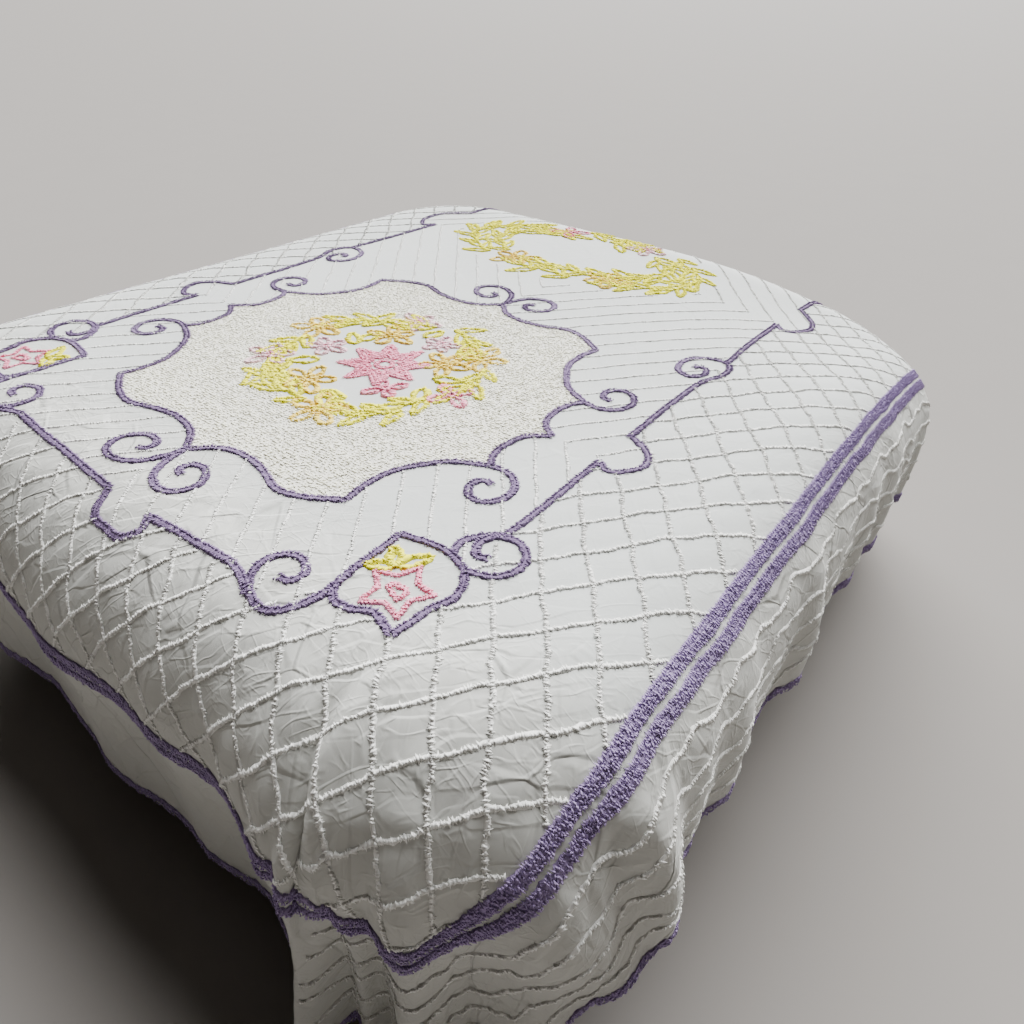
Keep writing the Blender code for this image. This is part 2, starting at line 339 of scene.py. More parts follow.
def pillowLift(flat):
    # the taut ground puffs up a little inside each diamond outside the frame
    d = latticeSet
    u, v = offCloth(flat).T
    first = (u / d["ratio"] + v) / math.sqrt(2) - d["firstPhase"]
    second = (u / d["ratio"] - v) / math.sqrt(2) - d["secondPhase"]
    puff = np.sqrt(np.abs(np.sin(math.pi * first) * np.sin(math.pi * second)))
    s = creaseSet
    outside = np.maximum(rise(np.abs(v), frameSet["side"], s["pillowEase"]),
                         rise(-u, s["pillowFoot"], s["pillowEase"]))
    end, ease = s["pillowEnd"]
    return s["pillow"] * puff * outside * smooth((end - roundTheBed(flat)[1]) / ease)


def creaseLift(flat):
    lift = puckerLift(flat) + pillowLift(flat)
    for across, along, runX, runY, length, width, height, bow in creases:
        offX = flat[:, 0] - across
        offY = flat[:, 1] - along
        near = np.flatnonzero(offX * offX + offY * offY < (3.0 * length) ** 2)
        run = offX[near] * runX + offY[near] * runY
        side = offY[near] * runX - offX[near] * runY - bow * run * run
        lift[near] += height * np.exp(-((run / length) ** 2) - (side / width) ** 2)
    return lift


# Shader groups shared by the materials
def newGroup(name, inputs, outputs):
    # an input without a value is a point, all the others are numbers
    group = bpy.data.node_groups.new(name, "ShaderNodeTree")
    for label, value in inputs.items():
        kind = "NodeSocketVector" if value is None else "NodeSocketFloat"
        made = group.interface.new_socket(label, in_out="INPUT", socket_type=kind)
        if value is not None:
            made.default_value = value
    for label in outputs:
        group.interface.new_socket(label, in_out="OUTPUT", socket_type="NodeSocketFloat")
    return group, group.nodes.new("NodeGroupInput").outputs, group.nodes.new("NodeGroupOutput").inputs


def fillSocket(tree, socket, value):
    if isinstance(value, bpy.types.NodeSocket):
        tree.links.new(value, socket)
    else:
        socket.default_value = value


def addNode(tree, kind, settings=None, **inputs):
    # i0, i1 and so on name a socket by its number, any other word by its label
    node = tree.nodes.new(kind)
    for key, value in (settings or {}).items():
        setattr(node, key, value)
    for key, value in inputs.items():
        numbered = key[0] == "i" and key[1:].isdigit()
        fillSocket(tree, node.inputs[int(key[1:])] if numbered else node.inputs[key.replace("_", " ")], value)
    return node


def calc(tree, operation, *values, kind="ShaderNodeMath"):
    node = addNode(tree, kind, {"operation": operation})
    for socket, value in zip(node.inputs, values):
        fillSocket(tree, socket, value)
    return node.outputs["Value" if operation == "DOT_PRODUCT" else 0]


def vectorCalc(tree, operation, *values):
    return calc(tree, operation, *values, kind="ShaderNodeVectorMath")


def noise(tree, point, scale, detail, space="3D", output="Fac"):
    node = addNode(tree, "ShaderNodeTexNoise", {"noise_dimensions": space}, Vector=point, Scale=scale,
                   Detail=detail)
    return node.outputs[output]


def mapRange(tree, value, low, high, first=0.0, last=1.0, kind="LINEAR"):
    return addNode(tree, "ShaderNodeMapRange", {"interpolation_type": kind}, i0=value, i1=low, i2=high,
                   i3=first, i4=last).outputs[0]


def attribute(tree, name):
    return addNode(tree, "ShaderNodeAttribute", {"attribute_name": name}).outputs["Fac"]


def objectPoint(tree):
    return addNode(tree, "ShaderNodeTexCoord").outputs["Object"]


def splitPoint(tree, point):
    return addNode(tree, "ShaderNodeSeparateXYZ", i0=point).outputs


def blendColour(tree, share, first, second):
    node = addNode(tree, "ShaderNodeMix", {"data_type": "RGBA"}, i0=share)
    for socket, value in ((node.inputs[6], first), (node.inputs[7], second)):
        fillSocket(tree, socket, value if isinstance(value, bpy.types.NodeSocket) else (*value, 1))
    return node.outputs[2]


def placeGroup(tree, group, **inputs):
    return addNode(tree, "ShaderNodeGroup", {"node_tree": group}, **inputs).outputs


def addBump(tree, shader, height, strength, distance, before=None):
    bump = addNode(tree, "ShaderNodeBump", Height=height, Strength=strength, Distance=distance)
    if before is not None:
        tree.links.new(before.outputs[0], bump.inputs["Normal"])
    tree.links.new(bump.outputs[0], shader.inputs["Normal"])
    return bump


def makeWeaveGroup():
    # plain weave: threads over and under, with a few thicker ones
    group, given, result = newGroup("plainWeave", {"Cloth Point": None, "Threads": 900.0}, ["Height", "Slub"])
    point = given["Cloth Point"]
    parts = splitPoint(group, point)
    warp, weft = (calc(group, "SINE", calc(group, "MULTIPLY", parts[k], given["Threads"])) for k in (0, 1))
    stretch = addNode(group, "ShaderNodeMapping", Vector=point, Scale=(1.0, 0.06, 1.0))
    slub = noise(group, stretch.outputs[0], 260.0, 2.0, "2D")
    height = calc(group, "ADD", calc(group, "MULTIPLY", warp, weft), slub)
    group.links.new(height, result["Height"])
    group.links.new(slub, result["Slub"])
    return group


def makeFuzzGroup():
    # cut cotton ends: the painted shade and highlight that each point carries in, broken by a random speckle,
    # and a fine fibre height
    group, given, result = newGroup(
        "cottonFuzz", {"Point": None, "Tip": 0.5, "Speckle Scale": 420.0, "Contrast": 1.0},
        ["Tone", "Height", "Drift"])
    point = given["Point"]
    speckle = noise(group, point, given["Speckle Scale"], 2.0)
    fibre = noise(group, point, 1300.0, 3.0)
    uneven = calc(group, "MULTIPLY", mapRange(group, speckle, 0.32, 0.68, -0.5, 0.5), given["Contrast"])
    tone = addNode(group, "ShaderNodeClamp", i0=calc(group, "ADD", given["Tip"], uneven)).outputs[0]
    group.links.new(tone, result["Tone"])
    group.links.new(calc(group, "MULTIPLY_ADD", fibre, 0.5, speckle), result["Height"])
    group.links.new(noise(group, point, 9.0, 2.0), result["Drift"])
    return group


def makeCrumpleGroup():
    # washed, unpressed cotton: facets that tilt a little, and broken soft creases in three directions
    group, given, result = newGroup("washedCrumple", {"Cloth Point": None, "Slack": 0.5}, ["Height"])
    point = given["Cloth Point"]
    half = (0.5, 0.5, 0.5)
    centred = vectorCalc(group, "SUBTRACT", noise(group, point, 7.0, 2.0, "2D", "Color"), half)
    bent = vectorCalc(group, "MULTIPLY_ADD", centred, (0.018, 0.018, 0.0), point)

    def turned(turn, length):
        return addNode(group, "ShaderNodeMapping", {"vector_type": "TEXTURE"}, Vector=bent,
                       Rotation=(0, 0, turn), Scale=(1.0, length, 1.0)).outputs[0]

    total = 0.0
    # turn, length, scale, slope of the facets
    for turn, length, scale, slope in ((0.55, 2.2, 15.0, 0.12), (-0.75, 2.5, 27.0, 0.11)):
        spot = turned(turn, length)
        facets = addNode(group, "ShaderNodeTexVoronoi", {"feature": "SMOOTH_F1", "voronoi_dimensions": "2D"},
                         Vector=spot, Scale=scale, Smoothness=0.25).outputs
        away = vectorCalc(group, "SUBTRACT", spot, facets["Position"])
        lean = vectorCalc(group, "SUBTRACT", facets["Color"], half)
        total = calc(group, "MULTIPLY_ADD", vectorCalc(group, "DOT_PRODUCT", away, lean), slope, total)
    # turn, length, scale, width in the noise, height
    for turn, length, scale, width, height in ((0.35, 3.0, 34.0, 0.085, 0.0006),
                                               (-0.70, 2.8, 46.0, 0.095, 0.0006),
                                               (1.40, 2.6, 62.0, 0.110, 0.0004)):
        spot = turned(turn, length)
        off = calc(group, "ABSOLUTE", calc(group, "SUBTRACT", noise(group, spot, scale, 1.0, "2D"), 0.5))
        ridge = mapRange(group, off, 0.0, width, height, 0.0, "SMOOTHSTEP")
        shown = mapRange(group, noise(group, spot, scale * 0.55, 1.0, "2D"), 0.44, 0.58)
        total = calc(group, "MULTIPLY_ADD", ridge, shown, total)
    strength = calc(group, "MULTIPLY_ADD", given["Slack"], 0.86, 0.14)
    group.links.new(calc(group, "MULTIPLY", total, strength), result["Height"])
    return group


weaveGroup = makeWeaveGroup()
fuzzGroup = makeFuzzGroup()
crumpleGroup = makeCrumpleGroup()


def newMaterial(name, roughness, sheen=0.0, sheenTint=(1, 1, 1), specular=0.15):
    material = bpy.data.materials.new(name)
    material.use_nodes = True
    tree = material.node_tree
    shader = tree.nodes["Principled BSDF"]
    for label, value in (("Roughness", roughness), ("Sheen Weight", sheen), ("Sheen Roughness", 0.55),
                         ("Sheen Tint", (*sheenTint, 1)), ("Specular IOR Level", specular)):
        shader.inputs[label].default_value = value
    return material, tree, shader


sheetingSet = {
    "dull": (0.600, 0.630, 0.615),
    "bright": (0.670, 0.695, 0.675),
    "slub": (0.52, 0.53, 0.51),
    "hangingShade": (0.575, 0.545, 0.475),       # painted shade: darker and warmer where the cloth hangs over the edges
    "underPile": (0.88, 0.86, 0.78),
}


def makeSheeting():
    s = sheetingSet
    material, tree, shader = newMaterial("bleachedSheeting", 0.86, 0.10)
    point = addNode(tree, "ShaderNodeUVMap", {"uv_map": "clothPlan"}).outputs[0]
    slack = attribute(tree, "slack")
    weave = placeGroup(tree, weaveGroup, Cloth_Point=point, Threads=9000.0)
    crumple = placeGroup(tree, crumpleGroup, Cloth_Point=point, Slack=slack)
    base = blendColour(tree, noise(tree, point, 5.0, 4.0), s["dull"], s["bright"])
    base = blendColour(tree, calc(tree, "MULTIPLY", weave["Slub"], 0.12), base, s["slub"])
    # painted shade: the hanging cloth is blended towards a darker, warmer colour
    base = blendColour(tree, calc(tree, "MULTIPLY", slack, 0.40), base, s["hangingShade"])
    base = blendColour(tree, attribute(tree, "pileGround"), base, s["underPile"])
    tree.links.new(base, shader.inputs["Base Color"])
    deep = addBump(tree, shader, crumple["Height"], 1.0, 1.0)
    addBump(tree, shader, weave["Height"], 0.15, 0.0002, deep)
    return material


def makeTufting(name, light, gapColourAndShade, faded, contrast):
    material, tree, shader = newMaterial(name, 0.92, 0.35, light)
    # the tip attribute carries the painted shade and highlight of each strand and roll
    fuzz = placeGroup(tree, fuzzGroup, Point=objectPoint(tree), Tip=attribute(tree, "tip"), Contrast=contrast)
    # the gap colour is partly the yarn's deeper colour and partly painted shade
    base = blendColour(tree, fuzz["Tone"], gapColourAndShade, light)
    base = blendColour(tree, mapRange(tree, fuzz["Drift"], 0.45, 0.75, 0.0, 0.45), base, faded)
    tree.links.new(base, shader.inputs["Base Color"])
    addBump(tree, shader, fuzz["Height"], 0.25, 0.0005)
    return material


# light tips, gaps (darker: partly the yarn's deeper colour, partly painted shade), faded, contrast
yarns = {
    "white": ((0.97, 0.97, 0.94), (0.89, 0.88, 0.84), (0.95, 0.94, 0.90), 0.4),
    "lavender": ((0.44, 0.34, 0.58), (0.32, 0.24, 0.43), (0.48, 0.39, 0.60), 0.5),
    "plum": ((0.265, 0.19, 0.335), (0.15, 0.10, 0.195), (0.29, 0.22, 0.355), 0.6),
    "cream": ((0.98, 0.97, 0.83), (0.91, 0.89, 0.74), (0.96, 0.95, 0.83), 0.4),
    "yellow": ((0.99, 0.96, 0.045), (0.98, 0.93, 0.035), (0.99, 0.96, 0.12), 0.4),
    "peach": ((0.99, 0.77, 0.16), (0.98, 0.67, 0.09), (0.98, 0.84, 0.24), 0.5),
    "pink": ((0.99, 0.39, 0.53), (0.98, 0.29, 0.43), (0.98, 0.52, 0.63), 0.5),
    "blush": ((0.98, 0.70, 0.75), (0.96, 0.58, 0.66), (0.97, 0.78, 0.80), 0.6),
}
sheeting = makeSheeting()
tufting = {colour: makeTufting(colour + "Tufting", *yarn) for colour, yarn in yarns.items()}
print("materials ready")

spreadSet = {
    "halfWidth": 1.31,
    "foot": -1.56,
    "head": 1.33,
    "corner": 0.42,           # radius of the cut corners
    "thickness": 0.002,
    # from, to, grid step: finer where the cloth hangs and creases
    "acrossZones": [(-1.31, -0.80, 0.0118), (-0.80, 0.60, 0.0190), (0.60, 0.74, 0.0070),
                    (0.74, 1.31, 0.0094)],
    "alongZones": [(-1.56, -0.62, 0.0094), (-0.62, 0.92, 0.0195), (0.92, 1.33, 0.0140)],
}


def zoneLines(zones):
    lines = [np.linspace(start, end, round((end - start) / step), endpoint=False)
             for start, end, step in zones]
    return np.append(np.concatenate(lines), zones[-1][1])


def makeClothGrid():
    # the creased cloth at the points of the sheet, so that the tufting lies on that very sheet
    columns = zoneLines(spreadSet["acrossZones"])
    rows = zoneLines(spreadSet["alongZones"])
    across, along = np.meshgrid(columns, rows)
    flat = pairs(across.ravel(), along.ravel())
    places = drape(flat[:, 0], flat[:, 1]) + clothWays(flat)[2] * creaseLift(flat)[:, None]
    places = places.reshape(len(rows), len(columns), 3)
    normals = np.cross(np.gradient(places, columns, axis=1), np.gradient(places, rows, axis=0))
    return columns, rows, places, unitLong(normals)


clothGrid = makeClothGrid()
print("cloth grid ready")


def clothFrame(flat):
    # place, the directions of across and along, and the outward normal at flat points
    columns, rows, places, normals = clothGrid
    i = np.clip(np.searchsorted(columns, flat[:, 0]) - 1, 0, len(columns) - 2)
    j = np.clip(np.searchsorted(rows, flat[:, 1]) - 1, 0, len(rows) - 2)
    s = np.clip((flat[:, 0] - columns[i]) / (columns[i + 1] - columns[i]), 0, 1)[:, None]
    t = np.clip((flat[:, 1] - rows[j]) / (rows[j + 1] - rows[j]), 0, 1)[:, None]
    place, normal = ((table[j, i] * (1 - s) + table[j, i + 1] * s) * (1 - t)
                     + (table[j + 1, i] * (1 - s) + table[j + 1, i + 1] * s) * t
                     for table in (places, normals))
    toSide, toHead, _ = clothWays(flat)
    return place, toSide, toHead, unitLong(normal)


def newGrid(columns, rows):
    # a grid of faces, and the column and row of each of its points
    bm = bmesh.new()
    bmesh.ops.create_grid(bm, x_segments=columns - 1, y_segments=rows - 1, size=1.0)
    x, y = np.array([v.co[:2] for v in bm.verts]).T
    return bm, np.rint((x + 1) / 2 * (columns - 1)).astype(int), np.rint((y + 1) / 2 * (rows - 1)).astype(int)


def meshFrom(bm, name):
    mesh = bpy.data.meshes.new(name)
    bm.to_mesh(mesh)
    bm.free()
    return mesh


def linked(name, data):
    made = bpy.data.objects.new(name, data)
    bpy.context.scene.collection.objects.link(made)
    return made


def newPiece(name, mesh, material):
    mesh.materials.append(material)
    mesh.shade_smooth()
    return linked(name, mesh)


def makeSpread(medallionLine):
    s = spreadSet
    columns, rows, _, _ = clothGrid
    bm, column, row = newGrid(len(columns), len(rows))
    flat = pairs(columns[column], rows[row])
    # points past a cut corner move onto its arc, and the faces between them go
    centre = pairs(np.sign(flat[:, 0]) * (s["halfWidth"] - s["corner"]),
                   np.where(flat[:, 1] > 0, s["head"] - s["corner"], s["foot"] + s["corner"]))
    off = flat - centre
    length = np.hypot(off[:, 0], off[:, 1])
    past = (off[:, 0] * centre[:, 0] > 0) & (off[:, 1] * centre[:, 1] > 0) & (length > s["corner"])
    flat[past] = centre[past] + off[past] / length[past, None] * s["corner"]

    uv = bm.loops.layers.uv.new("clothPlan")
    slackLayer = bm.verts.layers.float.new("slack")
    groundLayer = bm.verts.layers.float.new("pileGround")
    design = offCloth(flat)
    fromRing = np.hypot(*(design - wreathSet["middle"]).T)
    ground = insideLine(design, medallionLine) * smooth((fromRing - wreathSet["clear"] + 0.15) / 0.3)
    for vert, spot, loose, under in zip(bm.verts, clothFrame(flat)[0], slackAt(flat), ground):
        vert.co = spot
        vert[slackLayer] = loose
        vert[groundLayer] = under
    bm.verts.index_update()
    for face in bm.faces:
        for loop in face.loops:
            loop[uv].uv = flat[loop.vert.index]
    waste = [face for face in bm.faces if all(past[v.index] for v in face.verts)]
    bmesh.ops.delete(bm, geom=waste, context="FACES")
    bmesh.ops.recalc_face_normals(bm, faces=bm.faces)
    if sum(face.normal.z for face in bm.faces) < 0:
        bmesh.ops.reverse_faces(bm, faces=bm.faces)
    spread = newPiece("chenilleSpread", meshFrom(bm, "chenilleSpread"), sheeting)
    thick = spread.modifiers.new("thick", "SOLIDIFY")
    thick.thickness = s["thickness"]
    thick.offset = 0.0
    print("spread grid", len(columns), "by", len(rows), "triangles", 4 * len(spread.data.polygons))
    return spread


# Drawing the rows of tufting
def runOf(line):
    # distance along a line at each of its points
    return np.concatenate([[0], np.cumsum(np.hypot(*np.diff(line, axis=0).T))])


def wayOf(line):
    way = np.gradient(line, axis=0)
    return way / np.maximum(np.hypot(way[:, 0], way[:, 1])[:, None], 1e-9)


def leftOf(way):
    return pairs(-way[:, 1], way[:, 0])


def evenly(line, step):
    line = np.asarray(line, float)
    run = runOf(line)
    wanted = np.linspace(0, run[-1], max(2, int(round(run[-1] / step)) + 1))
    return pairs(np.interp(wanted, run, line[:, 0]), np.interp(wanted, run, line[:, 1]))


def curveThrough(points, step=0.12):
    # a smooth line through the points, evenly spaced
    points = [np.asarray(p, float) for p in points]
    last = len(points) - 1
    t = np.linspace(0, 1, 12, endpoint=False)[:, None]
    line = []
    for i in range(last):
        start, end = points[i], points[i + 1]
        before = points[i - 1] if i > 0 else 2 * start - end
        after = points[i + 2] if i + 2 <= last else 2 * end - start
        line.append(0.5 * (2 * start + (end - before) * t
                           + (2 * before - 5 * start + 4 * end - after) * t ** 2
                           + (3 * start - before - 3 * end + after) * t ** 3))
    line.append(points[-1][None])
    return evenly(np.concatenate(line), step)


def straights(points):
    return evenly(points, 0.1)


def mirrored(line, u=1, v=1):
    return np.asarray(line) * (u, v)


def onSide(lines, sign):
    return [mirrored(line, 1, sign) for line in lines]


def insideLine(points, outline):
    # even-odd test of points against a closed outline
    inside = np.zeros(len(points), bool)
    x, y = points[:, 0], points[:, 1]
    for (x1, y1), (x2, y2) in zip(outline, np.roll(outline, -1, axis=0)):
        if y1 != y2:
            inside ^= ((y1 > y) != (y2 > y)) & (x < (x2 - x1) * (y - y1) / (y2 - y1) + x1)
    return inside


def insideRounded(flat, side, foot, head, corner):
    # distance inside a rectangle with rounded corners
    offX = np.abs(flat[:, 0]) - (side - corner)
    offY = np.abs(flat[:, 1] - (head + foot) / 2) - ((head - foot) / 2 - corner)
    outside = np.hypot(np.maximum(offX, 0), np.maximum(offY, 0)) + np.minimum(np.maximum(offX, offY), 0)
    return corner - outside


def keepRuns(line, keep, shortest=3):
    # splits a line into the runs of points that stay
    rows = []
    start = None
    for i, stays in enumerate(np.append(keep, False)):
        if stays and start is None:
            start = i
        elif not stays and start is not None:
            if i - start >= shortest:
                rows.append(line[start:i])
            start = None
    return rows


# hand-guided rows are never quite straight
wanderSet = {
    "waves": [(0.035, 0.35), (0.07, 0.6), (0.13, 0.9), (0.29, 1.0)],   # length in metres, share
    "weight": (0.3, 1.0),
    "level": 1.6,             # what the waves together are divided by
}


def wander(line, amount):
    s = wanderSet
    run = runOf(line)
    sway = np.zeros(len(line))
    for length, share in s["waves"]:
        wave = np.sin(run / length * fullTurn + draws.uniform(*anyPhase))
        sway += wave * draws.uniform(*s["weight"]) * share
    return line + leftOf(wayOf(line)) * (sway * amount / s["level"])[:, None]


# One row of tufting is a low packed roll, with soft pointed strands that lie across it
whiteLook = {
    "lanes": [0.0],           # where strands lie beside the line of the row
    "pitch": 0.0030,          # between strands
    "length": 0.0112,
    "thick": 0.0052,
    "flat": 0.50,             # height of a strand as a share of its width
    "height": 0.0024,         # of the middle of a strand above the cloth
    "splay": 44,              # degrees that a strand may turn away from straight across
    "stand": 16,              # degrees that it may tip up at one end
    "uneven": 0.36,
    "rollStep": 0.0100,
    "rollWidth": 0.0050,      # half of it
    "rollHeight": 0.0022,
    "rollCrestLight": 0.75,         # painted highlight of its crest, against the painted shade of its sides
}
chevronLook = {**whiteLook, "pitch": 0.0034, "length": 0.0090, "thick": 0.0046, "height": 0.0022,
               "rollWidth": 0.0038, "rollHeight": 0.0020}
borderLook = {**whiteLook, "pitch": 0.0032, "length": 0.0118, "height": 0.0030, "rollHeight": 0.0028}
scrollLook = {**whiteLook, "lanes": [-0.0046, 0.0046], "length": 0.0104, "thick": 0.0042, "flat": 0.7,
              "height": 0.0036, "splay": 55, "stand": 24, "rollStep": 0.006, "rollWidth": 0.0084,
              "rollHeight": 0.0034, "rollCrestLight": 0.30}
bandLook = {**scrollLook, "lanes": [0.0], "pitch": 0.0033, "length": 0.0098, "thick": 0.0038,
            "height": 0.0040, "splay": 34, "stand": 18, "rollStep": None}
bedLook = {**bandLook, "rollStep": 0.008, "rollWidth": 0.0122, "rollHeight": 0.0036, "rollCrestLight": 0.55,
           "uneven": 0.10}
hemLook = {**scrollLook, "lanes": [-0.0105, -0.0035, 0.0035, 0.0105], "pitch": 0.0048, "length": 0.0112,
           "thick": 0.0044, "height": 0.0032, "rollStep": 0.010, "rollWidth": 0.0145, "rollHeight": 0.0026}
pileLook = {**whiteLook, "pitch": 0.0054, "length": 0.0106, "height": 0.0014, "splay": 90, "stand": 12,
            "uneven": 0.60, "rollStep": None}
flowerLook = {**whiteLook, "pitch": 0.0040, "length": 0.0140, "thick": 0.0074, "flat": 0.30, "height": 0.0034,
              "splay": 50, "stand": 8, "rollStep": 0.0090, "rollWidth": 0.0086, "rollHeight": 0.0034,
              "rollCrestLight": 1.0}
starLook = {**flowerLook, "lanes": [-0.0032, 0.0032], "pitch": 0.0038, "length": 0.0116, "thick": 0.0056,
            "rollWidth": 0.0072}
pictureLook = {**starLook, "lanes": [-0.0020, 0.0020], "length": 0.0094, "rollWidth": 0.0052}
sewSet = {
    "along": 0.4,             # how far a strand strays along its row, as a share of the pitch
    "aside": 0.22,            # and across it, as a share of its length
    "fatness": 0.8,           # share of the unevenness that its thickness and a roll's swelling take
    "droop": 0.45,            # how far its ends hang, as a share of its height
    "shadeTones": (1.0, 0.35, 0.70),   # painted light of its crest, flanks and ends: a highlight on the crest, shade on the flanks and ends
    "shade": (0.5, 1.0),
}


def eitherWay(most, count):
    return draws.uniform(-most, most, count)


def manyStrands(name, count):
    # one three-sided strand, pointed at both ends, and an array of it
    bm = bmesh.new()
    bmesh.ops.create_uvsphere(bm, u_segments=3, v_segments=2, radius=1.0)
    mesh = meshFrom(bm, name)
    pattern = np.array([v.co[:] for v in mesh.vertices])
    strand = linked(name, mesh)
    array = strand.modifiers.new("many", "ARRAY")
    array.count = count
    array.use_relative_offset = False
    array.use_constant_offset = True
    array.constant_offset_displace = (0, 0, 0)
    graph = bpy.context.evaluated_depsgraph_get()
    made = bpy.data.meshes.new_from_object(strand.evaluated_get(graph))
    bpy.data.objects.remove(strand)
    bpy.data.meshes.remove(mesh)
    return made, pattern


def sewStrands(name, rows, look, material):
    # a strand at every pitch of every row, on the cloth
    s = look
    stitches, ways = [], []
    for row in rows:
        row = evenly(row, s["pitch"])
        for lane in s["lanes"]:
            ways.append(wayOf(row))
            stitches.append(row + leftOf(ways[-1]) * lane)
    flat = np.concatenate(stitches)
    way = np.concatenate(ways)
    count = len(flat)
    flat = flat + way * (eitherWay(sewSet["along"], count) * s["pitch"])[:, None]
    flat = flat + leftOf(way) * (eitherWay(sewSet["aside"], count) * s["length"] * s["uneven"])[:, None]
    place, toSide, toHead, normal = clothFrame(flat)
    across = toSide * -way[:, 1:2] + toHead * way[:, 0:1]
    across = unitLong(across - normal * (across * normal).sum(1, keepdims=True))
    onward = np.cross(across, normal)

    splay = np.radians(s["splay"] * eitherWay(1, count))[:, None]
    stand = np.radians(s["stand"] * eitherWay(1, count))[:, None]
    level = across * np.cos(splay) + onward * np.sin(splay)
    along = level * np.cos(stand) + normal * np.sin(stand)
    up = normal * np.cos(stand) - level * np.sin(stand)
    beyond = np.cross(up, along)
    half = s["length"] / 2 * (1 + s["uneven"] * eitherWay(1, count))
    fat = s["thick"] / 2 * (1 + s["uneven"] * eitherWay(sewSet["fatness"], count))
    lift = s["height"] * (1 + s["uneven"] * eitherWay(1, count))
    droop = sewSet["droop"] * s["height"]

    mesh, pattern = manyStrands(name, count)
    centre = place + normal * lift[:, None]
    points = np.empty((count, len(pattern), 3))
    tip = np.empty((count, len(pattern)))
    shade = draws.uniform(*sewSet["shade"], count)
    crest, flank, end = sewSet["shadeTones"]
    for k, (y, x, z) in enumerate(pattern):
        points[:, k] = centre - beyond * (x * fat)[:, None] + up * (y * fat * s["flat"])[:, None]
        points[:, k] += along * (z * half)[:, None] - normal * (abs(z) * droop)
        # painted shade and highlight: each point's tone comes from where it sits on the strand, times a
        # random tone per strand
        tip[:, k] = shade * (crest if y > 0.5 else flank if abs(z) < 0.5 else end)
    mesh.vertices.foreach_set("co", points.ravel())
    mesh.attributes.new("tip", "FLOAT", "POINT").data.foreach_set("value", tip.ravel())
    mesh.update()
    print(name, "rows", len(rows), "metres", round(count * s["pitch"] / len(s["lanes"]), 1),
          "triangles", len(mesh.polygons))
    return newPiece(name, mesh, material)


def sewRolls(name, rows, look, material):
    # closed low rolls along the rows, lumpy like packed yarn
    s = look
    lines = [evenly(row, s["rollStep"]) for row in rows]
    owner = np.concatenate([np.full(len(line), i) for i, line in enumerate(lines)])
    sizes = []
    for line in lines:
        swell = 1 + s["uneven"] * eitherWay(sewSet["fatness"], len(line))
        swell[[0, -1]] = 0
        sizes.append(swell)
    flat = np.concatenate(lines)
    beside = leftOf(np.concatenate([wayOf(line) for line in lines]))
    size = np.concatenate(sizes)
    # side, height, tone: painted shade on the flanks and underside, a painted highlight on the crest
    ring = [(1.0, 0.15, 0.25), (0.0, 1.0, s["rollCrestLight"]), (-1.0, 0.15, 0.25), (0.0, -0.12, 0.0)]
    places = []
    for side, height, _ in ring:
        place, _, _, normal = clothFrame(flat + beside * (side * s["rollWidth"] * size)[:, None])
        places.append(place + normal * (height * s["rollHeight"] * size)[:, None])
    bm, column, turn = newGrid(len(flat), len(ring) + 1)
    # each ring point carries its painted shade tone
    tipShadeLayer = bm.verts.layers.float.new("tip")
    for vert, i, k in zip(bm.verts, column, turn % len(ring)):
        vert.co = places[k][i]
        vert[tipShadeLayer] = ring[k][2]
    bm.verts.index_update()
    ends = owner[column]
    bridges = [face for face in bm.faces if len({ends[v.index] for v in face.verts}) > 1]
    bmesh.ops.delete(bm, geom=bridges, context="FACES")
    bmesh.ops.remove_doubles(bm, verts=bm.verts, dist=1e-7)
    bmesh.ops.recalc_face_normals(bm, faces=bm.faces)
    mesh = meshFrom(bm, name)
    print(name, "triangles", 2 * len(mesh.polygons))
    return newPiece(name, mesh, material)


sewn = []


def sew(name, rows, look, colour):
    sewn.append(sewStrands(name, rows, look, tufting[colour]))
    if look["rollStep"]:
        sewn.append(sewRolls(name + "Rolls", rows, look, tufting[colour]))


# the medallion: one quarter of its wavy outline, mirrored four times, and the scrolls at its ends
quarter = [
    straights([(7.35, 0.0), (7.2, 0.18)]),
    curveThrough([(7.2, 0.18), (6.72, 0.75), (6.50, 1.6), (6.62, 2.6), (6.95, 3.6), (6.75, 4.5),
                  (6.12, 5.5)]),
    curveThrough([(6.12, 5.5), (5.35, 5.36), (4.45, 5.45), (3.65, 5.85), (2.95, 6.45), (2.42, 7.42)]),
    curveThrough([(2.42, 7.42), (2.0, 7.15), (1.45, 7.05), (0.75, 7.12), (0.35, 7.38), (0.0, 7.85)]),
]
quarterScrolls = [
    curveThrough([(2.42, 7.42), (2.38, 8.0), (2.72, 8.55), (3.30, 8.72), (3.85, 8.42), (3.92, 7.92),
                  (3.50, 7.58), (3.08, 7.74), (3.12, 8.06)]),
    curveThrough([(7.35, 0.0), (8.0, 0.12), (8.62, 0.45), (8.95, 1.1), (8.75, 1.72), (8.15, 1.88),
                  (7.65, 1.45), (7.68, 0.92), (8.08, 0.80), (8.2, 1.1)]),
]
quarterLine = np.concatenate([q[:-1] for q in quarter] + [quarter[-1][-1:]])
medallion = np.concatenate([
    quarterLine, mirrored(quarterLine[::-1], u=-1)[1:], mirrored(quarterLine, u=-1, v=-1)[1:],
    mirrored(quarterLine[::-1], v=-1)[1:],
])


# the frame round the design
def bumpInLine(start, end, depth=1.15):
    # the small step that the frame takes outwards: along its run, then out
    run = end - start
    return [(start, 0.0), (start - 0.16 * run, 0.45), (start + 0.04 * run, 0.95), (start + 0.38 * run, depth),
            (start + 0.72 * run, 0.85), (end, 0.12), (end + 0.02 * run, 0.0)]


